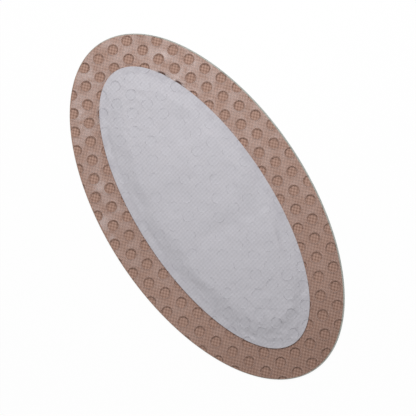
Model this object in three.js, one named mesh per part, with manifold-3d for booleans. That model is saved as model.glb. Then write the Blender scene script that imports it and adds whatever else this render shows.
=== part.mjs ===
// Oval silicone bordered wound dressing, lying flat with its wound side up.
//
// Four sheets are laid on each other: a tan woven backing, a soft absorbent core, a white
// facing sheet that drapes over the core and runs out past it as a thin flange, and a clear
// silicone gel sheet that drapes over all of them. The gel sheet is perforated by a staggered
// pattern of round holes, which its outline cuts through.
//
// Millimetres, +Z up. The origin is the centre of the backing's underside, +X is the long
// axis and +Y the short one.

import * as THREE from 'three';
import { mergeVertices } from 'three/addons/utils/BufferGeometryUtils.js';
import Module from 'manifold-3d';

const wasm = await Module();
wasm.setup();

// Backing sheet
const BACKING_LENGTH = 115.6;
const BACKING_WIDTH = 59.8;
const BACKING_THICKNESS = 0.4;

// White facing sheet, set in from the backing's outline by the adhesive border
const BORDER_WIDTH_AT_ENDS = 9.55;
const BORDER_WIDTH_AT_SIDES = 10.35;
const FACING_SHIFT_X = 0.2;
const FACING_SHIFT_Y = -0.6;
const FACING_THICKNESS = 0.35;

// Absorbent core: its foot is set in from the facing's edge by the flange, and its top from
// its foot by the slopes, of which the one on the +Y side is the steepest
const FLANGE_WIDTH_AT_ENDS = 3.0;
const FLANGE_WIDTH_AT_SIDES = 3.0;
const CORE_HEIGHT = 1.2;
const CORE_EDGE_HEIGHT = 0.2;
const SLOPE_WIDTH_AT_ENDS = 3.4;
const SLOPE_WIDTH_AT_PLUS_Y = 1.0;
const SLOPE_WIDTH_AT_MINUS_Y = 3.6;

// Silicone sheet: the backing's size, laid a little off centre
const SILICONE_THICKNESS = 0.3;
const SILICONE_SHIFT_X = 0.1;
const SILICONE_SHIFT_Y = 0.4;

// Perforations of the silicone sheet: holes in rows across the sheet, every second row
// moved by half a pitch
const HOLE_DIAMETER = 3.0;
const HOLE_PITCH = 5.0;
const ROW_SPACING = 5.0;
const PATTERN_SHIFT_X = 0.9;
const PATTERN_SHIFT_Y = -1.0;
const PATTERN_TURN_DEGREES = -0.74;

// How a sheet drapes: the run over which it climbs an edge, and the clearance it keeps to
// the curved face below it
const DRAPE_RUN = 0.5;
const DRAPE_CLEARANCE = 0.05;

// Facets
const OUTLINE_SIDES = 64;
const SLOPE_STEPS = 3;
const HOLE_SIDES = 8;

// Ellipses that the sheets share. Each is a centre and two full axes.

const backingOutline = {
  x: 0,
  y: 0,
  length: BACKING_LENGTH,
  width: BACKING_WIDTH,
};

const siliconeOutline = {
  x: SILICONE_SHIFT_X,
  y: SILICONE_SHIFT_Y,
  length: BACKING_LENGTH,
  width: BACKING_WIDTH,
};

const facingOutline = {
  x: FACING_SHIFT_X,
  y: FACING_SHIFT_Y,
  length: BACKING_LENGTH - 2 * BORDER_WIDTH_AT_ENDS,
  width: BACKING_WIDTH - 2 * BORDER_WIDTH_AT_SIDES,
};

const coreFoot = {
  x: facingOutline.x,
  y: facingOutline.y,
  length: facingOutline.length - 2 * FLANGE_WIDTH_AT_ENDS,
  width: facingOutline.width - 2 * FLANGE_WIDTH_AT_SIDES,
};

const coreTop = {
  x: coreFoot.x,
  y: coreFoot.y + (SLOPE_WIDTH_AT_MINUS_Y - SLOPE_WIDTH_AT_PLUS_Y) / 2,
  length: coreFoot.length - 2 * SLOPE_WIDTH_AT_ENDS,
  width: coreFoot.width - SLOPE_WIDTH_AT_MINUS_Y - SLOPE_WIDTH_AT_PLUS_Y,
};

function grown(ellipse, margin) {
  return { ...ellipse, length: ellipse.length + 2 * margin, width: ellipse.width + 2 * margin };
}

function between(from, to, share) {
  const mix = (key) => THREE.MathUtils.lerp(from[key], to[key], share);
  return { x: mix('x'), y: mix('y'), length: mix('length'), width: mix('width') };
}

// A ring is an ellipse at a height.
function ring(ellipse, z) {
  return { ...ellipse, z };
}

// The core's upper surface as rings, from its foot's upper edge to the rim of its flat top.
// The slope eases in and out, as pressed foam does.
function coreSurface() {
  const rings = [];
  for (let step = 0; step <= SLOPE_STEPS; step += 1) {
    const share = step / SLOPE_STEPS;
    const rise = THREE.MathUtils.smoothstep(share, 0, 1);
    const height = THREE.MathUtils.lerp(CORE_EDGE_HEIGHT, CORE_HEIGHT, rise);
    rings.push(ring(between(coreFoot, coreTop, share), BACKING_THICKNESS + height));
  }
  return rings;
}

function lifted(rings, height) {
  return rings.map((each) => ({ ...each, z: each.z + height }));
}

// The facing's underside, from its outline to the rim of its flat middle: flat on the
// backing, up the core's edge, and over the core at the drape clearance.
function facingUnderside() {
  return [
    ring(facingOutline, BACKING_THICKNESS),
    ring(grown(coreFoot, DRAPE_RUN), BACKING_THICKNESS),
    ...lifted(coreSurface(), DRAPE_CLEARANCE),
  ];
}

// The silicone's underside, from its outline inwards: flat on the backing, up the facing's
// edge, flat on the flange, and over the raised middle at the drape clearance.
function siliconeUnderside() {
  const [facingEdge, flangeRim, ...raised] = lifted(facingUnderside(), FACING_THICKNESS);
  return [
    ring(siliconeOutline, BACKING_THICKNESS),
    ring(grown(facingOutline, DRAPE_RUN), BACKING_THICKNESS),
    grown(facingEdge, DRAPE_CLEARANCE),
    flangeRim,
    ...lifted(raised, DRAPE_CLEARANCE),
  ];
}

// A closed solid lofted through rings. They run from the rim of the flat underside, out to
// the edge and back in to the rim of the flat top.
function loft(rings) {
  const positions = [];
  const triangles = [];
  const addRing = (each) => {
    const first = positions.length / 3;
    for (let side = 0; side < OUTLINE_SIDES; side += 1) {
      const angle = (side / OUTLINE_SIDES) * 2 * Math.PI;
      positions.push(
        each.x + (each.length / 2) * Math.cos(angle),
        each.y + (each.width / 2) * Math.sin(angle),
        each.z,
      );
    }
    return first;
  };
  const addCentre = (each) => {
    positions.push(each.x, each.y, each.z);
    return positions.length / 3 - 1;
  };
  const starts = rings.map(addRing);
  const underCentre = addCentre(rings[0]);
  const topCentre = addCentre(rings[rings.length - 1]);
  const lastStart = starts[starts.length - 1];
  for (let side = 0; side < OUTLINE_SIDES; side += 1) {
    const next = (side + 1) % OUTLINE_SIDES;
    triangles.push(underCentre, starts[0] + next, starts[0] + side);
    triangles.push(topCentre, lastStart + side, lastStart + next);
    for (let row = 0; row + 1 < starts.length; row += 1) {
      const here = starts[row];
      const there = starts[row + 1];
      triangles.push(here + side, here + next, there + next);
      triangles.push(here + side, there + next, there + side);
    }
  }
  const geometry = new THREE.BufferGeometry();
  geometry.setAttribute('position', new THREE.Float32BufferAttribute(positions, 3));
  geometry.setIndex(triangles);
  return geometry;
}

// A sheet of even thickness over an underside given from its outline inwards.
function sheet(underside, thickness) {
  return loft([...underside.slice().reverse(), ...lifted(underside, thickness)]);
}

// Booleans

function toManifold(geometry) {
  const bare = geometry.clone();
  bare.deleteAttribute('normal');
  bare.deleteAttribute('uv');
  const merged = mergeVertices(bare);
  const mesh = new wasm.Mesh({
    numProp: 3,
    vertProperties: new Float32Array(merged.attributes.position.array),
    triVerts: new Uint32Array(merged.index.array),
  });
  return new wasm.Manifold(mesh);
}

function toGeometry(manifold) {
  const mesh = manifold.getMesh();
  const geometry = new THREE.BufferGeometry();
  geometry.setAttribute('position', new THREE.BufferAttribute(mesh.vertProperties, 3));
  geometry.setIndex(new THREE.BufferAttribute(mesh.triVerts, 1));
  return geometry;
}

// Centres of all the holes that reach into the silicone's outline, whole or cut by it.
function holeCentres() {
  const turn = THREE.MathUtils.degToRad(PATTERN_TURN_DEGREES);
  const pivot = new THREE.Vector2(PATTERN_SHIFT_X, PATTERN_SHIFT_Y);
  const reach = grown(siliconeOutline, HOLE_DIAMETER / 2);
  const rows = Math.ceil(reach.length / ROW_SPACING / 2) + 1;
  const columns = Math.ceil(reach.width / HOLE_PITCH / 2) + 1;
  const centres = [];
  for (let row = -rows; row <= rows; row += 1) {
    const stagger = row % 2 === 0 ? 0 : HOLE_PITCH / 2;
    for (let column = -columns; column <= columns; column += 1) {
      const centre = new THREE.Vector2(row * ROW_SPACING, column * HOLE_PITCH + stagger);
      centre.add(pivot).rotateAround(pivot, turn);
      const across = (centre.x - reach.x) / (reach.length / 2);
      const up = (centre.y - reach.y) / (reach.width / 2);
      if (Math.hypot(across, up) < 1) {
        centres.push(centre);
      }
    }
  }
  return centres;
}

function perforated(solid) {
  const sheets = BACKING_THICKNESS + CORE_HEIGHT + FACING_THICKNESS + SILICONE_THICKNESS;
  const radius = HOLE_DIAMETER / 2;
  const punch = new THREE.CylinderGeometry(radius, radius, 4 * sheets, HOLE_SIDES);
  punch.rotateX(Math.PI / 2);
  punch.rotateZ(Math.PI / HOLE_SIDES);
  const punches = holeCentres().map((centre) => {
    return toManifold(punch.clone().translate(centre.x, centre.y, 0));
  });
  const holes = wasm.Manifold.union(punches);
  return toGeometry(toManifold(solid).subtract(holes));
}

// The four sheets

function backingGeometry() {
  const outline = new THREE.Shape();
  outline.absellipse(
    backingOutline.x,
    backingOutline.y,
    backingOutline.length / 2,
    backingOutline.width / 2,
    0,
    2 * Math.PI,
  );
  return new THREE.ExtrudeGeometry(outline, {
    depth: BACKING_THICKNESS,
    bevelEnabled: false,
    curveSegments: OUTLINE_SIDES / 2,
  });
}

function coreGeometry() {
  return loft([ring(coreFoot, BACKING_THICKNESS), ...coreSurface()]);
}

function facingGeometry() {
  return sheet(facingUnderside(), FACING_THICKNESS);
}

function siliconeGeometry() {
  return perforated(sheet(siliconeUnderside(), SILICONE_THICKNESS));
}

const wovenTan = new THREE.MeshStandardMaterial({ color: 0xb08e7e, roughness: 0.9, metalness: 0 });
const foamWhite = new THREE.MeshStandardMaterial({ color: 0xd9d7d6, roughness: 0.95, metalness: 0 });
const facingWhite = new THREE.MeshStandardMaterial({ color: 0xc4c3c9, roughness: 0.85, metalness: 0 });
const clearGel = new THREE.MeshStandardMaterial({
  color: 0xd3c3ba,
  roughness: 0.4,
  metalness: 0,
  transparent: true,
  opacity: 0.45,
});

function piece(name, geometry, material) {
  geometry.computeVertexNormals();
  const mesh = new THREE.Mesh(geometry, material);
  mesh.name = name;
  return mesh;
}

const dressing = new THREE.Group();
dressing.add(
  piece('backing_fabric', backingGeometry(), wovenTan),
  piece('absorbent_core', coreGeometry(), foamWhite),
  piece('pad_facing', facingGeometry(), facingWhite),
  piece('silicone_contact_layer', siliconeGeometry(), clearGel),
);

export default dressing;
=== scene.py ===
"""Silicone bordered wound dressing, lying flat with its wound side up.

Four sheets lie on each other: a tan woven backing, a soft core, a white facing and a clear
perforated silicone gel. Metres, +Z up, in the frame of the construction model.
"""

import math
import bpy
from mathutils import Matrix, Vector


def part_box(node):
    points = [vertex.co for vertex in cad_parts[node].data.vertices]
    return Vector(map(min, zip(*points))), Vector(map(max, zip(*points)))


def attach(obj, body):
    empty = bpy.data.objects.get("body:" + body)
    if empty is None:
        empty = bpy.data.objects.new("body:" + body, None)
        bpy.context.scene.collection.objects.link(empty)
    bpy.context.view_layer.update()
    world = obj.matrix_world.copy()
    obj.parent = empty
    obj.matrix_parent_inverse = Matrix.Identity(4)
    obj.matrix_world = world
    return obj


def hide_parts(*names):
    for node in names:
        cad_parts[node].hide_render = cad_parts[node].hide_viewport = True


bl_info = {
    "name": "Silicone bordered wound dressing",
    "version": (1, 0, 0),
    "blender": (4, 5, 0),
    "location": "View3D > Sidebar > Dressing",
    "description": "Models an oval wound dressing with a perforated silicone face",
    "category": "Add Mesh",
}

import bpy
import numpy as np
from mathutils import Matrix, Vector

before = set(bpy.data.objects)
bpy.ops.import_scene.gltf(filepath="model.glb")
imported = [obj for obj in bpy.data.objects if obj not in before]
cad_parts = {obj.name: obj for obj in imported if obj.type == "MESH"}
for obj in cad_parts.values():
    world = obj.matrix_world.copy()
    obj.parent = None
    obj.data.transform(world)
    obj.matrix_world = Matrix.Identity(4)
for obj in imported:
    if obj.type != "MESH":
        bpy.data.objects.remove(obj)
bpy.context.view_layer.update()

MM = 0.001


# Ovals that the sheets share

class Oval:
    """An ellipse seen from above: its centre and its two half axes."""

    def __init__(self, x, y, half_length, half_width):
        self.x = x
        self.y = y
        self.half_length = half_length
        self.half_width = half_width

    @classmethod
    def of_node(cls, node):
        low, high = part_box(node)
        centre = (low + high) / 2
        half = (high - low) / 2
        return cls(centre.x, centre.y, half.x, half.y)

    def grown(self, margin):
        return Oval(self.x, self.y, self.half_length + margin, self.half_width + margin)

    def towards(self, other, share):
        """The oval that lies this share of the way to another one."""
        return Oval(
            self.x + (other.x - self.x) * share,
            self.y + (other.y - self.y) * share,
            self.half_length + (other.half_length - self.half_length) * share,
            self.half_width + (other.half_width - self.half_width) * share,
        )

    def level(self, x, y):
        """1 on the outline, less inside it and more outside it."""
        return np.hypot((x - self.x) / self.half_length, (y - self.y) / self.half_width)

    def margin(self, x, y):
        """Distance inwards from the outline, exact only near it, and below 0 outside it."""
        level = self.level(x, y)
        slope = np.hypot((x - self.x) / self.half_length**2, (y - self.y) / self.half_width**2)
        slope = np.maximum(slope, 0.5 / self.half_length)
        return (1 - level) * np.maximum(level, 0.5) / slope

    def area(self):
        return math.pi * self.half_length * self.half_width


BACKING = Oval.of_node("backing_fabric")
FACING = Oval.of_node("pad_facing")
CORE_FOOT = Oval.of_node("absorbent_core")
SILICONE = Oval.of_node("silicone_contact_layer")

# The backing with its film edge, which stands out past the fabric about as far as the gel does
FILM = BACKING.towards(SILICONE, 0.5)
FILM = FILM.grown(SILICONE.y - FILM.y)

# The core's slopes, from the foot's outline in to the rim of the flat top
SLOPE_AT_ENDS = 5.0 * MM
SLOPE_AT_PLUS_Y = 2.2 * MM
SLOPE_AT_MINUS_Y = 3.6 * MM
CORE_TOP = Oval(
    CORE_FOOT.x,
    CORE_FOOT.y + (SLOPE_AT_MINUS_Y - SLOPE_AT_PLUS_Y) / 2,
    CORE_FOOT.half_length - SLOPE_AT_ENDS,
    CORE_FOOT.half_width - (SLOPE_AT_MINUS_Y + SLOPE_AT_PLUS_Y) / 2,
)

BACKING_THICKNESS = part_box("backing_fabric")[1].z
CORE_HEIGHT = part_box("absorbent_core")[1].z - BACKING_THICKNESS
CORE_EDGE_HEIGHT = 0.2 * MM
FACING_THICKNESS = 0.35 * MM
SILICONE_THICKNESS = 0.3 * MM
CLEARANCE = 0.05 * MM


# Sizes and colours that a user would change

def length(name, description, default):
    """A length property in metres."""
    return bpy.props.FloatProperty(
        name=name, description=description, default=default, unit="LENGTH", precision=5
    )


def colour(name, description, red, green, blue):
    """A colour property, given as it looks on a screen, from 0 to 255."""
    return bpy.props.FloatVectorProperty(
        name=name,
        description=description,
        subtype="COLOR",
        size=4,
        default=(*(linear(part / 255) for part in (red, green, blue)), 1),
    )


def linear(part):
    """A screen colour's part as the amount of light that it stands for."""
    return part / 12.92 if part <= 0.04045 else ((part + 0.055) / 1.055) ** 2.4


class DressingSizes(bpy.types.PropertyGroup):
    """Sizes of the sheets' detail."""

    hole_diameter: length("Hole diameter", "Across one perforation of the gel", 3.0 * MM)
    hole_pitch: length("Hole pitch", "From hole to hole along a row", 5.0 * MM)
    row_spacing: length("Row spacing", "From one row of holes to the next", 5.0 * MM)
    pattern_x: length("Pattern X", "Place of one hole's centre", 0.9 * MM)
    pattern_y: length("Pattern Y", "Place of one hole's centre", -1.0 * MM)
    pattern_turn: bpy.props.FloatProperty(
        name="Pattern turn",
        description="How far the rows are turned on the sheet",
        default=math.radians(-0.74),
        subtype="ANGLE",
    )
    rim_width: length("Rim width", "Rounded edge round each perforation", 0.26 * MM)
    lip_width: length("Lip width", "Raised lip round each perforation", 0.4 * MM)
    lip_height: length("Lip height", "How far the lip stands up", 0.04 * MM)
    edge_lift: length("Edge lift", "How far the border's waves leave the table", 0.35 * MM)
    thread_pitch_x: length("Thread pitch X", "From thread to thread along X", 0.645 * MM)
    thread_pitch_y: length("Thread pitch Y", "From thread to thread along Y", 0.583 * MM)


class DressingColours(bpy.types.PropertyGroup):
    """Colours of the sheets."""

    thread_high: colour("Thread crown", "Backing where a thread comes up", 182, 148, 133)
    thread_low: colour("Thread gap", "Backing between two threads", 129, 98, 84)
    facing: colour("Facing", "White nonwoven over the core", 189, 187, 193)
    core: colour("Core", "Foam inside the pad", 226, 223, 218)
    flange: colour("Flange", "Thin facing beside the core, over the backing", 170, 167, 174)
    haze: colour("Gel haze", "Cloudy gel between the holes", 232, 214, 209)
    rim: colour("Gel rim", "Cut edge of the gel round a hole on the border", 184, 150, 135)
    pad_rim: colour("Pad gel rim", "Cut edge of the gel round a hole on the pad", 187, 186, 193)
    fringe: colour("Gel fringe", "Film edge and gel that stand out past the fabric", 150, 156, 145)
    # Painted shadow: the dark colour drawn where the gel stands off the backing beside the pad
    gap: colour("Gap", "Where the gel stands off the backing beside the pad", 104, 76, 66)
    floor: colour("Floor", "Table under the dressing", 240, 240, 240)


# Shapes that the sheets lie in

def ease(share):
    return share * share * (3 - 2 * share)


CLIMB_HALVINGS = 18


def climb(x, y, outer, inner):
    """0 outside the outer oval, 1 inside the inner one, and an even rise between them."""
    low = np.zeros_like(x)
    high = np.ones_like(x)
    for _ in range(CLIMB_HALVINGS):
        middle = (low + high) / 2
        inside = outer.towards(inner, middle).level(x, y) < 1
        low = np.where(inside, middle, low)
        high = np.where(inside, high, middle)
    return (low + high) / 2


class Patch:
    """A soft round spot: its centre, its reach and how strong it is there."""

    def __init__(self, x, y, reach, strength):
        self.x = x * MM
        self.y = y * MM
        self.reach = reach * MM
        self.strength = strength

    def at(self, x, y):
        away = np.hypot(x - self.x, y - self.y) / self.reach
        return self.strength * np.exp(-away * away)


LINE_FADE = 0.25


class Line:
    """A soft line through some points. It fades towards its two ends, and it can reach a
    different distance to its left and to its right, as seen along it."""

    def __init__(self, points, left, right, strength=1.0):
        self.points = [np.array(point) * MM for point in points]
        self.left = left * MM
        self.right = right * MM
        self.strength = strength

    def at(self, x, y):
        nearest = np.full_like(x, np.inf)
        side = np.zeros_like(x)
        share = np.zeros_like(x)
        parts = len(self.points) - 1
        for number in range(parts):
            start = self.points[number]
            run = self.points[number + 1] - start
            from_x = x - start[0]
            from_y = y - start[1]
            along = np.clip((from_x * run[0] + from_y * run[1]) / (run @ run), 0, 1)
            gap = np.hypot(from_x - along * run[0], from_y - along * run[1])
            closer = gap < nearest
            side = np.where(closer, run[0] * from_y - run[1] * from_x, side)
            share = np.where(closer, (number + along) / parts, share)
            nearest = np.minimum(nearest, gap)
        reach = np.where(side > 0, self.left, self.right)
        fade = ease(np.minimum(1, np.minimum(share, 1 - share) / LINE_FADE))
        return self.strength * fade * np.exp(-((nearest / reach) ** 2))


# Where the pad is pressed in, and by how many millimetres, from how it lay in its pack. Below 0
# it stands up.
CREASES = (
    Line(((9.6, 15.5), (9.4, 8.0), (9.0, 2.0), (8.4, -9.5)), 7.0, 2.3, 0.46),
    Line(((10.4, 22.5), (10.0, 6.0)), 1.5, 7.0, 0.95),
    Line(((9.9, 10.5), (9.7, 1.5)), 0.9, 0.9, 0.12),
    Line(((10.6, -8.0), (11.2, -15.0)), 1.3, 1.5, 0.18),
    Line(((-19.4, 21.0), (-19.2, 3.0)), 1.6, 7.0, 0.95),
    Line(((-6.4, 1.0), (-6.0, -22.0)), 3.0, 6.0, 0.36),
    Line(((-4.6, 18.0), (-4.8, -2.0)), 4.0, 0.9, 0.12),
    Line(((-43.0, 1.2), (-22.0, 0.9), (-3.0, 1.0)), 0.7, 3.0, 0.08),
    Line(((-3.1, -14.5), (-1.2, -4.3)), 0.8, 0.8, 0.08),
    Line(((42.7, -12.0), (42.9, 0.1), (43.9, 2.2), (46.5, 2.7)), 0.9, 2.5, 0.26),
    Patch(-24.0, 6.0, 6.0, 0.3),
    Patch(41.0, 3.6, 2.2, -0.22),
    Patch(-43.2, 3.0, 1.5, 0.30),
    Patch(-43.8, -1.5, 1.5, -0.22),
    Patch(-35.0, 8.1, 1.4, -0.22),
    Patch(-39.2, -6.7, 1.4, 0.28),
)

# Painted shadow: dark lines in the gel where it stands off the backing beside the pad, in place of
# the shade in those gaps
GAP_SHADOW_LINES = (
    Line(((-41.9, 9.2), (-39.3, 10.95), (-36.9, 12.2)), 0.4, 0.4),
    Line(((-36.4, 12.5), (-34.4, 13.4), (-32.4, 14.3)), 0.35, 0.35),
    Line(((-42.6, -10.0), (-39.5, -11.9), (-36.9, -13.4)), 0.25, 0.25, 0.8),
)


# How deep creases that meet can press the pad in together, which leaves some of the core
DEEPEST_CREASE = 0.75 * MM

WAVE_COUNT = 26


def waves(x, y, seed, shortest, longest):
    """Soft random unevenness about 0: waves of these lengths laid over each other."""
    draw = np.random.default_rng(seed)
    height = np.zeros_like(x)
    for _ in range(WAVE_COUNT):
        heading = draw.uniform(0, math.tau)
        wave = draw.uniform(shortest, longest)
        phase = draw.uniform(0, math.tau)
        across = x * math.cos(heading) + y * math.sin(heading)
        height += np.cos(math.tau * across / wave + phase)
    return height / math.sqrt(WAVE_COUNT)


# The pad's own unevenness: how high it is, and its seed and shortest and longest wave.
# There are long waves all over, and short ones towards the two ends.
RELIEF_HEIGHT = 0.05 * MM
RELIEF_WAVES = (7, 4.0 * MM, 11.0 * MM)
CRUMPLE_HEIGHT = 0.03 * MM
CRUMPLE_WAVES = (13, 1.8 * MM, 4.0 * MM)
CRUMPLE_START = 24 * MM
CRUMPLE_RUN = 20 * MM

# How far the pad's slopes wander from an even oval, along X and along Y
SLOPE_WANDER = 0.5 * MM
WANDER_WAVES_X = (11, 6.0 * MM, 20.0 * MM)
WANDER_WAVES_Y = (12, 6.0 * MM, 20.0 * MM)

# How far past the core's foot a sheet comes down to what is under it
DRAPE_RUN = 1.0 * MM


def relief(x, y):
    ends = np.clip((np.abs(x) - CRUMPLE_START) / CRUMPLE_RUN, 0, 1)
    crumple = CRUMPLE_HEIGHT * ends * waves(x, y, *CRUMPLE_WAVES)
    return RELIEF_HEIGHT * waves(x, y, *RELIEF_WAVES) + crumple


def edge_wave(x, y):
    """How far the whole dressing leaves the table: a little along its border."""
    outwards = 1 - climb(x, y, BACKING, FACING)
    angle = np.arctan2(y / BACKING.half_width, x / BACKING.half_length)
    wave = 0.5 + 0.3 * np.cos(5 * angle + 0.8) + 0.2 * np.cos(9 * angle + 2.1)
    return bpy.context.scene.dressing_sizes.edge_lift * outwards**2 * wave


def raised_middle(x, y, spread=0.0):
    """Height of the core over the backing, as a sheet laid on it follows it. A larger spread
    carries the slope further out, as on a stiffer sheet."""
    foot = CORE_FOOT.grown(spread)
    edge = climb(x, y, foot.grown(DRAPE_RUN), foot)
    from_x = x + SLOPE_WANDER * waves(x, y, *WANDER_WAVES_X)
    from_y = y + SLOPE_WANDER * waves(x, y, *WANDER_WAVES_Y)
    slope = climb(from_x, from_y, foot, CORE_TOP.grown(spread))
    slope = (slope + ease(slope)) / 2
    depth = MM * sum(crease.at(x, y) for crease in CREASES)
    pressed = relief(x, y) - DEEPEST_CREASE * np.tanh(depth / DEEPEST_CREASE)
    return CORE_EDGE_HEIGHT * edge + (CORE_HEIGHT - CORE_EDGE_HEIGHT + pressed) * slope


def facing_underside(x, y):
    return BACKING_THICKNESS + CLEARANCE + edge_wave(x, y) + raised_middle(x, y)


# The gel is stiffer than the facing and tents over its edge and over the core's
GEL_SPREAD = 0.5 * MM
GEL_TENT = 1.3 * MM


def silicone_underside(x, y):
    tent = ease(climb(x, y, FACING.grown(GEL_TENT), FACING.grown(GEL_SPREAD)))
    facing = (FACING_THICKNESS + CLEARANCE) * tent
    middle = raised_middle(x, y, GEL_SPREAD)
    return BACKING_THICKNESS + CLEARANCE + edge_wave(x, y) + facing + middle


# Modelling steps

def deselect():
    bpy.ops.object.select_all(action="DESELECT")


def take(piece):
    """Makes one piece the selected and active one."""
    deselect()
    piece.select_set(True)
    bpy.context.view_layer.objects.active = piece


def apply(piece, kind, **settings):
    """Adds a modifier to a piece and applies it."""
    take(piece)
    modifier = piece.modifiers.new(kind.title(), kind)
    for name, setting in settings.items():
        setattr(modifier, name, setting)
    bpy.ops.object.modifier_apply(modifier=modifier.name)


def settle(piece):
    """Moves a piece's place, turn and scale into its mesh."""
    take(piece)
    bpy.ops.object.transform_apply(location=True, rotation=True, scale=True)


TRIM_SIDES = 288


def trim(piece, oval):
    """Cuts a flat sheet to an oval."""
    deselect()
    depth = 4 * piece.dimensions.z
    bpy.ops.mesh.primitive_cylinder_add(
        vertices=TRIM_SIDES, radius=1, depth=depth, location=(oval.x, oval.y, 0)
    )
    cutter = bpy.context.object
    cutter.scale = (oval.half_length, oval.half_width, 1)
    settle(cutter)
    apply(piece, "BOOLEAN", operation="INTERSECT", solver="MANIFOLD", object=cutter)
    bpy.data.objects.remove(cutter)


def flat_sheet(name, oval, cell, thickness):
    """A flat oval sheet of small square cells, with its underside at height 0."""
    deselect()
    columns = math.ceil(2 * oval.half_length / cell) + 2
    rows = math.ceil(2 * oval.half_width / cell) + 2
    place = (oval.x, oval.y, 0)
    bpy.ops.mesh.primitive_grid_add(
        x_subdivisions=columns, y_subdivisions=rows, size=1, location=place
    )
    piece = bpy.context.object
    piece.name = name
    piece.data.name = name
    bpy.ops.object.mode_set(mode="EDIT")
    bpy.ops.mesh.select_all(action="SELECT")
    bpy.ops.transform.resize(value=(columns * cell, rows * cell, 1), center_override=place)
    bpy.ops.object.mode_set(mode="OBJECT")
    settle(piece)
    apply(piece, "SOLIDIFY", thickness=thickness, offset=1)
    trim(piece, oval)
    return piece


def points_of(piece):
    points = np.empty(len(piece.data.vertices) * 3, np.float32)
    piece.data.vertices.foreach_get("co", points)
    return points.reshape(-1, 3).astype(float)


def move_points(piece, points):
    piece.data.vertices.foreach_set("co", points.astype(np.float32).ravel())
    piece.data.update()


def drape(piece, underside):
    """Lays a flat sheet on what is under it."""
    points = points_of(piece)
    points[:, 2] += underside(points[:, 0], points[:, 1])
    move_points(piece, points)


def note(piece, name, values):
    """Keeps a number for each point of a piece, for its material to read."""
    attribute = piece.data.attributes.new(name, "FLOAT", "POINT")
    attribute.data.foreach_set("value", values.astype(np.float32))


SMOOTH_ANGLE = math.radians(50)


def finish_piece(piece, node, material):
    """Gives a piece its finish, and puts it on the body in place of a construction node."""
    take(piece)
    bpy.ops.object.shade_smooth_by_angle(angle=SMOOTH_ANGLE)
    piece.data.materials.clear()
    piece.data.materials.append(material)
    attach(piece, "root")
    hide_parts(node)


# Shader maths

class Wire:
    """A shader socket that takes part in Python's arithmetic."""

    def __init__(self, tree, socket):
        self.tree = tree
        self.socket = socket

    def add(self, kind, settings=None, inputs=None, output=0):
        """Adds a node to the shader, and returns the wire of one of its outputs."""
        node = self.tree.nodes.new(kind)
        for name, setting in (settings or {}).items():
            setattr(node, name, setting)
        for name, value in (inputs or {}).items():
            if isinstance(value, Wire):
                self.tree.links.new(value.socket, node.inputs[name])
            else:
                node.inputs[name].default_value = value
        return Wire(self.tree, node.outputs[output])

    def math(self, operation, *values):
        return self.add("ShaderNodeMath", {"operation": operation}, dict(enumerate(values)))

    def __add__(self, other):
        return self.math("ADD", self, other)

    def __sub__(self, other):
        return self.math("SUBTRACT", self, other)

    def __mul__(self, other):
        return self.math("MULTIPLY", self, other)

    def __radd__(self, other):
        return self.math("ADD", other, self)

    def __rsub__(self, other):
        return self.math("SUBTRACT", other, self)

    def __rmul__(self, other):
        return self.math("MULTIPLY", other, self)

    def cos(self):
        return self.math("COSINE", self)

    def kept(self):
        """Kept between 0 and 1."""
        return self.math("MAXIMUM", self.math("MINIMUM", self, 1.0), 0.0)

    def rise(self, start, end):
        """0 before start, 1 after end, and a smooth step between them."""
        return self.add(
            "ShaderNodeMapRange",
            {"interpolation_type": "SMOOTHSTEP"},
            {"Value": self, "From Min": start, "From Max": end},
        )

    def mix(self, low, high):
        """The colour low where this is 0, and high where it is 1."""
        return self.add(
            "ShaderNodeMix", {"data_type": "RGBA"}, {0: self, 6: low, 7: high}, output=2
        )

    def noise(self, size, detail=2.0, roughness=0.5):
        """Cloudy noise from 0 to 1 on this place, with patches of about this size."""
        return self.add(
            "ShaderNodeTexNoise",
            inputs={
                "Vector": self,
                "Scale": 1 / size,
                "Detail": detail,
                "Roughness": roughness,
            },
        )

    def bump(self, distance):
        """The surface normal over this relief, of which 1 stands for this distance."""
        return self.add(
            "ShaderNodeBump", inputs={"Height": self, "Distance": distance, "Strength": 1.0}
        )


class Finish:
    """A new material with one main shader, and the wires of the place on the piece."""

    def __init__(self, name, **constants):
        self.material = bpy.data.materials.new(name)
        self.material.use_nodes = True
        tree = self.material.node_tree
        tree.nodes.clear()
        start = Wire(tree, None)
        self.place = start.add("ShaderNodeTexCoord", output="Object")
        self.x = self.part("X")
        self.y = self.part("Y")
        self.shader = start.add("ShaderNodeBsdfPrincipled", inputs=constants)
        self.output = tree.nodes.new("ShaderNodeOutputMaterial")
        tree.links.new(self.shader.socket, self.output.inputs["Surface"])

    def part(self, axis):
        return self.place.add("ShaderNodeSeparateXYZ", inputs={0: self.place}, output=axis)

    def noted(self, name):
        """The wire of a number that the piece keeps for each point."""
        return self.place.add("ShaderNodeAttribute", {"attribute_name": name}, output="Fac")

    def feed(self, **wires):
        """Links wires to the main shader's sockets."""
        for name, wire in wires.items():
            socket = self.shader.socket.node.inputs[name.replace("_", " ")]
            self.shader.tree.links.new(wire.socket, socket)


# How far inwards a sheet still slopes where the gel presses it round a perforation
PRESSED_RUN = 0.35 * MM

# How the backing's threads lie: the weft's slant, and how far and over what size they wander
WEFT_SLANT = 0.025
THREAD_WANDER = 0.12 * MM
THREAD_WANDER_SIZE = 6 * MM

# How strongly the weave shows under the gel, and how much more it does in a hole
WEAVE_CONTRAST = 0.31
BARE_CONTRAST = 0.1
HOLE_BLUR = 0.1 * MM

# Painted shade: where along X the backing starts to darken, and where it is darkest. It stands in
# for the light that falls off towards +X.
PAINTED_FALLOFF_SPAN = (28 * MM, 60 * MM)
PAINTED_FALLOFF_DEPTH = 0.2

# Where the film takes over from the fabric, measured inwards from the fabric's outline
FILM_START = (-0.1 * MM, 0.15 * MM)
FILM_CLEARNESS = 0.45

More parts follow.
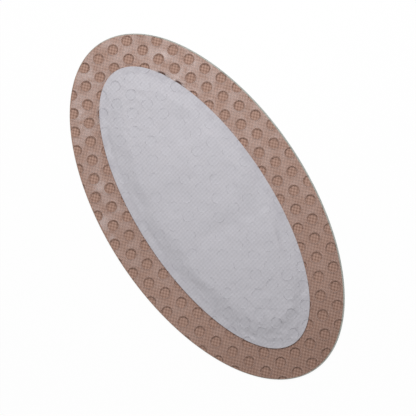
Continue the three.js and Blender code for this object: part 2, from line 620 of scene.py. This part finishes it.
# How high the backing's relief is for 1, and the shares of the holes' edges and of the weave
BACKING_BUMP = 0.15 * MM
BACKING_PRESSED = 1.8
BACKING_WEAVE = 0.16


def woven_finish(sizes, colours):
    """Plain woven fabric: crowns where a thread comes up, and dark gaps between them, with painted
    shade that darkens it towards +X.
    """
    finish = Finish("woven_backing", Roughness=0.9)
    wander = (finish.place.noise(THREAD_WANDER_SIZE) - 0.5) * THREAD_WANDER
    x = finish.x + wander
    y = finish.y + finish.x * WEFT_SLANT + wander
    across = (x * (math.pi / sizes.thread_pitch_x)).cos()
    along = (y * (math.pi / sizes.thread_pitch_y)).cos()
    weave = across * along
    strength = 0.6 + finish.place.noise(3 * MM)
    fibre = finish.place.noise(0.35 * MM, 3.0, 0.6) - 0.5
    blotch = finish.place.noise(9 * MM) - 0.5
    radius = sizes.hole_diameter / 2
    away = finish.noted("hole_distance")
    bare = 1 - away.rise(radius - HOLE_BLUR, radius + HOLE_BLUR)
    pressed = away.rise(radius - PRESSED_RUN, radius) * (0.5 + finish.place.noise(2.2 * MM))
    contrast = (WEAVE_CONTRAST + BARE_CONTRAST * bare) * strength
    crown = 0.5 + contrast * weave + 0.35 * fibre + 0.3 * blotch
    # Painted shade: the threads darken towards +X, in place of the light that falls off there.
    crown = (crown - PAINTED_FALLOFF_DEPTH * finish.x.rise(*PAINTED_FALLOFF_SPAN)).kept()
    threads = crown.mix(list(colours.thread_low), list(colours.thread_high))
    film = 1 - finish.noted("margin").rise(*FILM_START)
    finish.feed(
        Base_Color=film.mix(threads, list(colours.fringe)),
        Alpha=1 - FILM_CLEARNESS * film,
        Normal=(BACKING_PRESSED * pressed + BACKING_WEAVE * weave).bump(BACKING_BUMP),
    )
    return finish.material


def tinted(colour, share):
    """A colour with this share of its light, which stays at or below white."""
    return [min(1, part * share) for part in colour[:3]] + [1]


def foam_finish(colours):
    """Open foam with small cells."""
    finish = Finish("foam_core", Roughness=0.95)
    cells = finish.place.noise(0.5 * MM, 4.0, 0.6)
    tone = cells.rise(0.3, 0.7).mix(tinted(colours.core, 0.82), list(colours.core))
    finish.feed(Base_Color=tone, Normal=cells.bump(0.1 * MM))
    return finish.material


# The square of X where the perforations start to show more on the pad, and where they show fully
PAD_ENDS = ((14 * MM) ** 2, (42 * MM) ** 2)

# The facing's embossed hatch: the heading and the length of each of its two waves, and how
# strong the second is for 1 of the first
HATCH_HEADINGS = (math.radians(13), math.radians(-82))
HATCH_LENGTHS = (0.91 * MM, 0.94 * MM)
SECOND_HATCH = 0.55

# How far and over what size the hatch wanders
HATCH_WANDER = 0.3 * MM
HATCH_WANDER_SIZE = 5 * MM

# How much the backing shows through the flange where that is thin
FLANGE_THINNESS = 0.4

# How high the facing's relief is for 1, and how strongly the holes' edges show in it: in the
# middle of the pad, and how much more at its ends
FACING_BUMP = 0.018 * MM
FACING_PRESSED = 2.8
FACING_PRESSED_AT_ENDS = 5.2


def nonwoven_finish(sizes, colours):
    """Bonded nonwoven: a faint crossed hatch, stray fibres and soft blotches."""
    finish = Finish("pad_nonwoven", Roughness=0.8)
    wander = (finish.place.noise(HATCH_WANDER_SIZE) - 0.5) * HATCH_WANDER
    ridges = []
    for heading, wave in zip(HATCH_HEADINGS, HATCH_LENGTHS):
        across = finish.x * math.cos(heading) + finish.y * math.sin(heading) + wander
        ridges.append((across * (math.tau / wave)).cos())
    hatch = ridges[0] + SECOND_HATCH * ridges[1]
    fibre = finish.place.noise(0.5 * MM, 3.0, 0.65) - 0.5
    blotch = finish.place.noise(7 * MM, 3.0) - 0.5
    tone = (0.5 + 0.2 * hatch + 0.9 * fibre + 0.5 * blotch).kept()
    tone = tone.mix(tinted(colours.facing, 0.90), tinted(colours.facing, 1.08))
    thin = finish.noted("flange") * finish.place.noise(3 * MM).rise(0.35, 0.7)
    radius = sizes.hole_diameter / 2
    ends = (finish.x * finish.x).rise(*PAD_ENDS)
    patchy = finish.place.noise(2.5 * MM).rise(0.35, 0.65)
    pressed = finish.noted("hole_distance").rise(radius - PRESSED_RUN, radius) * patchy
    pressed = pressed * (FACING_PRESSED + FACING_PRESSED_AT_ENDS * ends)
    finish.feed(
        Base_Color=(FLANGE_THINNESS * thin).mix(tone, list(colours.flange)),
        Normal=(0.2 * hatch + 0.5 * fibre + pressed).bump(FACING_BUMP),
    )
    return finish.material


# How far and over what size the gel's rims wander, and over what size they come and go
RIM_WANDER = 0.3 * MM
RIM_WANDER_SIZE = 1.3 * MM
RIM_PATCH_SIZE = 2.2 * MM

# How much of what is under it the gel covers. The ranges of two numbers start at the first and
# rise by the second: on the border with the rims' patches, and on the pad towards its ends.
BORDER_RIM = (0.1, 0.55)
PAD_RIM = (0.08, 0.14)
HALO = 0.06
HAZE_ON_PAD = 0.06
BEYOND_BACKING = 0.15
# Painted shadow: how much more the gel covers along the gaps beside the pad
GAP_SHADOW_COVER = 0.5


def gel_finish(sizes, colours):
    """Clear tacky gel: cloudy where it lies hollow, dense at its cut edges, and with painted shadow
    where it stands off the backing beside the pad.
    """
    finish = Finish("silicone_gel", Roughness=0.35)
    on_border = 1 - finish.noted("over_pad")
    beyond = finish.noted("beyond_backing").rise(-0.1 * MM, 0.1 * MM)
    # Painted shadow: along the gaps beside the pad the gel turns dark and denser
    gap = finish.noted("gap") * on_border
    wander = (finish.place.noise(RIM_WANDER_SIZE) - 0.5) * RIM_WANDER
    past_hole = finish.noted("hole_distance") + wander - sizes.hole_diameter / 2
    patchy = finish.place.noise(RIM_PATCH_SIZE)
    ends = (finish.x * finish.x).rise(*PAD_ENDS)
    pad_rim = patchy.rise(0.47, 0.66) * (PAD_RIM[0] + PAD_RIM[1] * ends)
    border_rim = BORDER_RIM[0] + BORDER_RIM[1] * patchy
    rim = 1 - past_hole.rise(0.6 * sizes.rim_width, 1.2 * sizes.rim_width)
    halo = past_hole.rise(sizes.rim_width, 1.4 * sizes.rim_width)
    halo = halo * (1 - past_hole.rise(1.4 * sizes.rim_width, sizes.lip_width))
    cloud = finish.place.noise(3.5 * MM, 4.0, 0.6).rise(0.3, 0.72)
    haze = finish.noted("haze") * (0.2 + 1.5 * cloud)
    haze = haze * (HAZE_ON_PAD + (1 - HAZE_ON_PAD) * on_border)
    edges = rim * (pad_rim * (1 - on_border) + border_rim * on_border) + HALO * halo * on_border
    shade = on_border.mix(list(colours.pad_rim), list(colours.rim))
    shade = rim.mix(list(colours.haze), shade)
    shade = beyond.mix(shade, list(colours.fringe))
    cover = (haze + edges) * (1 - beyond) + BEYOND_BACKING * beyond + GAP_SHADOW_COVER * gap
    finish.feed(Base_Color=gap.mix(shade, list(colours.gap)), Alpha=cover.kept())
    return finish.material


# The four sheets

BACKING_CELL = 0.4 * MM
CORE_CELL = 0.8 * MM
FACING_CELL = 0.34 * MM


class DRESSING_OT_lay_backing(bpy.types.Operator):
    """Models the tan woven sheet that the rest is laid on"""

    bl_idname = "dressing.lay_backing"
    bl_label = "Lay the backing"

    def execute(self, context):
        scene = context.scene
        piece = flat_sheet("woven_backing", FILM, BACKING_CELL, BACKING_THICKNESS)
        drape(piece, edge_wave)
        sizes = scene.dressing_sizes
        x, y, _ = points_of(piece).T
        note(piece, "hole_distance", hole_distance(x, y, sizes))
        note(piece, "margin", BACKING.margin(x, y))
        material = woven_finish(sizes, scene.dressing_colours)
        finish_piece(piece, "backing_fabric", material)
        FILM.area()
        return {"FINISHED"}


class DRESSING_OT_lay_core(bpy.types.Operator):
    """Models the soft core, with its rounded slopes and the creases pressed into it"""

    bl_idname = "dressing.lay_core"
    bl_label = "Lay the core"

    def execute(self, context):
        piece = flat_sheet("foam_core", CORE_FOOT, CORE_CELL, CORE_HEIGHT)
        points = points_of(piece)
        x, y, z = points.T
        share = z / CORE_HEIGHT
        points[:, 2] = BACKING_THICKNESS + edge_wave(x, y) + share * raised_middle(x, y)
        move_points(piece, points)
        finish_piece(piece, "absorbent_core", foam_finish(context.scene.dressing_colours))
        return {"FINISHED"}


class DRESSING_OT_lay_facing(bpy.types.Operator):
    """Models the white nonwoven that drapes over the core and ends in a thin flange"""

    bl_idname = "dressing.lay_facing"
    bl_label = "Lay the facing"

    def execute(self, context):
        piece = flat_sheet("facing_sheet", FACING, FACING_CELL, FACING_THICKNESS)
        drape(piece, facing_underside)
        sizes = context.scene.dressing_sizes
        colours = context.scene.dressing_colours
        x, y, _ = points_of(piece).T
        note(piece, "hole_distance", hole_distance(x, y, sizes))
        note(piece, "flange", 1 - climb(x, y, CORE_FOOT.grown(DRAPE_RUN), CORE_FOOT))
        finish_piece(piece, "pad_facing", nonwoven_finish(sizes, colours))
        FACING.area()
        return {"FINISHED"}


# The segments of a hole's outline that face one side of its square cell
SIDE_SEGMENTS = 8
WELD_DISTANCE = 0.01 * MM


def on_square(angle, half_x, half_y):
    """The point of a rectangle's outline that stands for this angle, evenly spaced on each side."""
    quarter = round(angle / (math.pi / 2))
    along = (angle - quarter * math.pi / 2) / (math.pi / 4)
    corner = Vector((1, along))
    corner.rotate(Matrix.Rotation(quarter * math.pi / 2, 2))
    return Vector((corner.x * half_x, corner.y * half_y, 0))


def perforation_cell(sizes):
    """One square of flat gel with a round hole, whose rings make its rim and its lip."""
    deselect()
    radius = sizes.hole_diameter / 2
    sides = 4 * SIDE_SEGMENTS
    bpy.ops.mesh.primitive_circle_add(vertices=sides, radius=radius, location=(0, 0, 0))
    cell = bpy.context.object
    bpy.ops.object.mode_set(mode="EDIT")
    bpy.ops.mesh.select_all(action="SELECT")
    ring = radius
    for width in (sizes.rim_width, sizes.lip_width):
        bpy.ops.mesh.extrude_edges_move()
        wider = (radius + width) / ring
        bpy.ops.transform.resize(value=(wider, wider, 1))
        ring *= wider
    bpy.ops.mesh.extrude_edges_move()
    bpy.ops.mesh.extrude_edges_move()
    bpy.ops.mesh.select_all(action="SELECT")
    bpy.ops.mesh.flip_normals()
    bpy.ops.object.mode_set(mode="OBJECT")
    vertices = list(cell.data.vertices)
    for vertex in vertices[-2 * sides :]:
        angle = math.atan2(vertex.co.y, vertex.co.x)
        edge = on_square(angle, sizes.row_spacing / 2, sizes.hole_pitch / 2)
        share = 1.0 if vertex.index >= len(vertices) - sides else 0.5
        vertex.co = vertex.co.lerp(edge, share)
    return cell


def perforated_sheet(name, sizes):
    """The flat gel sheet: staggered columns of perforation cells, trimmed to the oval."""
    cell = perforation_cell(sizes)
    neighbour = cell.copy()
    neighbour.data = cell.data.copy()
    bpy.context.collection.objects.link(neighbour)
    neighbour.location = (sizes.row_spacing, sizes.hole_pitch / 2, 0)
    take(cell)
    neighbour.select_set(True)
    bpy.ops.object.join()
    columns = math.ceil(SILICONE.half_length / sizes.row_spacing) + 2
    rows = 2 * math.ceil(SILICONE.half_width / sizes.hole_pitch) + 4
    steps = ((rows, (0, sizes.hole_pitch, 0)), (columns, (2 * sizes.row_spacing, 0, 0)))
    for count, step in steps:
        apply(
            cell,
            "ARRAY",
            count=count,
            use_relative_offset=False,
            use_constant_offset=True,
            constant_offset_displace=step,
        )
    bpy.ops.object.mode_set(mode="EDIT")
    bpy.ops.mesh.select_all(action="SELECT")
    bpy.ops.mesh.remove_doubles(threshold=WELD_DISTANCE)
    bpy.ops.object.mode_set(mode="OBJECT")
    first_column = columns // 2
    first_row = rows // 2
    start = Matrix.Translation(
        (-2 * first_column * sizes.row_spacing, -first_row * sizes.hole_pitch, 0)
    )
    turn = Matrix.Rotation(sizes.pattern_turn, 4, "Z")
    place = Matrix.Translation((sizes.pattern_x, sizes.pattern_y, 0))
    cell.matrix_world = place @ turn @ start
    settle(cell)
    cell.name = name
    cell.data.name = name
    apply(cell, "SOLIDIFY", thickness=SILICONE_THICKNESS, offset=1)
    trim(cell, SILICONE)
    return cell


def hole_distance(x, y, sizes):
    """Distance from the centre of the hole whose cell a place is in."""
    turn = sizes.pattern_turn
    from_x = x - sizes.pattern_x
    from_y = y - sizes.pattern_y
    across = from_x * math.cos(turn) + from_y * math.sin(turn)
    along = from_y * math.cos(turn) - from_x * math.sin(turn)
    row = np.round(across / sizes.row_spacing)
    along = along - np.mod(row, 2) * sizes.hole_pitch / 2
    column = np.round(along / sizes.hole_pitch)
    return np.hypot(across - row * sizes.row_spacing, along - column * sizes.hole_pitch)


# Where the gel on the border is cloudier, and by how much
HAZE_PATCHES = (
    Patch(-42.4, -18.5, 4.0, 0.16),
    Patch(-52.7, -7.8, 3.5, 0.12),
    Patch(-36.7, 18.5, 3.5, 0.14),
    Patch(-34.7, 14.4, 2.5, 0.10),
    Patch(-21.4, -22.2, 3.0, 0.12),
    Patch(-12.1, -28.1, 2.5, 0.10),
    Patch(-12.2, -22.8, 2.0, 0.08),
    Patch(-6.0, -28.5, 2.5, 0.10),
    Patch(-45.5, 13.6, 3.0, 0.12),
)

# How cloudy the gel is at its two ends. This is partly the gel's own haze and partly painted light:
# the paler -X end also stands in for the light that falls off towards +X.
HAZE_AND_PAINTED_LIGHT_AT_MINUS_X = 0.11
HAZE_AND_PAINTED_LIGHT_AT_PLUS_X = 0.01


def haze(x, y):
    share = np.clip((x / BACKING.half_length + 1) / 2, 0, 1)
    patches = sum(patch.at(x, y) for patch in HAZE_PATCHES)
    # Cloudier towards -X: partly the gel's own haze, partly painted light
    return HAZE_AND_PAINTED_LIGHT_AT_MINUS_X + (HAZE_AND_PAINTED_LIGHT_AT_PLUS_X - HAZE_AND_PAINTED_LIGHT_AT_MINUS_X) * share + patches


# How far the gel's top comes down at the edge of a hole, as a share of its thickness
RIM_DROP = 0.85


class DRESSING_OT_lay_silicone(bpy.types.Operator):
    """Models the clear perforated gel sheet that lies over the pad and the border"""

    bl_idname = "dressing.lay_silicone"
    bl_label = "Lay the silicone"

    def execute(self, context):
        sizes = context.scene.dressing_sizes
        piece = perforated_sheet("silicone_sheet", sizes)
        points = points_of(piece)
        x, y, z = points.T
        away = hole_distance(x, y, sizes)
        on_top = z > SILICONE_THICKNESS / 2
        radius = sizes.hole_diameter / 2
        rounded = np.clip((away - radius) / sizes.rim_width, 0, 1)
        lip = np.clip((away - radius - sizes.rim_width) / (2 * sizes.lip_width), 0, 1)
        shape = sizes.lip_height * (1 - lip) * rounded
        shape = shape - RIM_DROP * SILICONE_THICKNESS * (1 - rounded)
        points[:, 2] += silicone_underside(x, y) + np.where(on_top, shape, 0)
        move_points(piece, points)
        note(piece, "hole_distance", away)
        note(piece, "haze", haze(x, y))
        note(piece, "over_pad", (FACING.level(x, y) < 1).astype(float))
        note(piece, "beyond_backing", -BACKING.margin(x, y))
        # Where the gel carries painted shadow beside the pad
        note(piece, "gap", sum(line.at(x, y) for line in GAP_SHADOW_LINES))
        material = gel_finish(sizes, context.scene.dressing_colours)
        finish_piece(piece, "silicone_contact_layer", material)
        open_share = math.pi * radius**2 / (sizes.hole_pitch * sizes.row_spacing)
        SILICONE.area() * (1 - open_share)
        return {"FINISHED"}


# Floor, light and camera

FLOOR_SIZE = 6.0
FLOOR_GAP = 0.02 * MM
FLOOR_WHITE_SHARE = 0.96
LAMP_PLACE = (-0.086, 0.063, 0.19)
LAMP_SIZE = 0.07
LAMP_POWER = 0.305
AMBIENT = 0.40

CAMERA_PLACE = Vector((96.55, 3.56, 516.8)) * MM
CAMERA_AIM = Vector((1.69, 0.17, 0.6)) * MM
CAMERA_UP_HEADING = math.radians(147.2)
CAMERA_LENS = 155.77
CAMERA_NEAR = 0.01
CAMERA_FAR = 20


def seen_directly(wire):
    """1 where the camera sees a surface, itself or in gloss or through glass."""
    camera = wire.add("ShaderNodeLightPath", output="Is Camera Ray")
    gloss = wire.add("ShaderNodeLightPath", output="Is Glossy Ray")
    glass = wire.add("ShaderNodeLightPath", output="Is Transmission Ray")
    return (camera + gloss + glass).kept()


def floor_finish(colours):
    """A pale floor that looks white and keeps the dressing's shadow."""
    finish = Finish("pale_floor", Roughness=0.9)
    finish.shader.socket.node.inputs["Base Color"].default_value = list(colours.floor)
    glow = finish.place.add(
        "ShaderNodeEmission", inputs={"Color": (1, 1, 1, 1), "Strength": 1.0}
    )
    share = seen_directly(finish.place) * FLOOR_WHITE_SHARE
    mixed = finish.place.add("ShaderNodeMixShader", inputs={0: share, 1: finish.shader, 2: glow})
    mixed.tree.links.new(mixed.socket, finish.output.inputs["Surface"])
    return finish.material


def light_world():
    world = bpy.data.worlds.new("studio")
    bpy.context.scene.world = world
    world.use_nodes = True
    tree = world.node_tree
    tree.nodes.clear()
    start = Wire(tree, None)
    strength = AMBIENT + seen_directly(start) * (1 - AMBIENT)
    sky = start.add("ShaderNodeBackground", inputs={"Color": (1, 1, 1, 1), "Strength": strength})
    output = tree.nodes.new("ShaderNodeOutputWorld")
    tree.links.new(sky.socket, output.inputs["Surface"])


class DRESSING_OT_set_stage(bpy.types.Operator):
    """Adds the floor, the light and the camera"""

    bl_idname = "dressing.set_stage"
    bl_label = "Set the stage"

    def execute(self, context):
        scene = context.scene
        deselect()
        bpy.ops.mesh.primitive_plane_add(size=FLOOR_SIZE, location=(0, 0, -FLOOR_GAP))
        floor = context.object
        floor.name = "floor"
        settle(floor)
        floor.data.materials.append(floor_finish(scene.dressing_colours))
        light_world()

        bpy.ops.object.light_add(type="AREA", location=LAMP_PLACE)
        lamp = context.object
        lamp.name = "lamp"
        lamp.data.energy = LAMP_POWER
        lamp.data.size = LAMP_SIZE
        lamp.rotation_euler = (-Vector(LAMP_PLACE)).to_track_quat("-Z", "Y").to_euler()

        bpy.ops.object.camera_add(location=CAMERA_PLACE)
        camera = context.object
        camera.name = "camera"
        camera.data.lens = CAMERA_LENS
        camera.data.clip_start = CAMERA_NEAR
        camera.data.clip_end = CAMERA_FAR
        back = (CAMERA_PLACE - CAMERA_AIM).normalized()
        heading = Vector((math.cos(CAMERA_UP_HEADING), math.sin(CAMERA_UP_HEADING), 0))
        right = heading.cross(back).normalized()
        up = back.cross(right)
        turn = Matrix((right, up, back)).transposed().to_4x4()
        camera.matrix_world = Matrix.Translation(CAMERA_PLACE) @ turn
        scene.camera = camera
        scene.view_settings.view_transform = "Standard"
        return {"FINISHED"}


class DRESSING_PT_steps(bpy.types.Panel):
    """Lists the steps, the sizes and the colours in the sidebar"""

    bl_idname = "DRESSING_PT_steps"
    bl_label = "Wound dressing"
    bl_space_type = "VIEW_3D"
    bl_region_type = "UI"
    bl_category = "Dressing"

    def draw(self, context):
        layout = self.layout
        for operator in OPERATORS:
            layout.operator(operator.bl_idname)
        for group in (context.scene.dressing_sizes, context.scene.dressing_colours):
            box = layout.box()
            for name in group.__annotations__:
                box.prop(group, name)


GROUPS = (DressingSizes, DressingColours)
OPERATORS = (
    DRESSING_OT_lay_backing,
    DRESSING_OT_lay_core,
    DRESSING_OT_lay_facing,
    DRESSING_OT_lay_silicone,
    DRESSING_OT_set_stage,
)
CLASSES = (*GROUPS, *OPERATORS, DRESSING_PT_steps)


def register():
    for each in CLASSES:
        bpy.utils.register_class(each)
    bpy.types.Scene.dressing_sizes = bpy.props.PointerProperty(type=DressingSizes)
    bpy.types.Scene.dressing_colours = bpy.props.PointerProperty(type=DressingColours)


def unregister():
    del bpy.types.Scene.dressing_colours
    del bpy.types.Scene.dressing_sizes
    for each in reversed(CLASSES):
        bpy.utils.unregister_class(each)


def main():
    register()
    bpy.ops.dressing.lay_backing()
    bpy.ops.dressing.lay_core()
    bpy.ops.dressing.lay_facing()
    bpy.ops.dressing.lay_silicone()
    bpy.ops.dressing.set_stage()


if __name__ == "__main__":
    main()
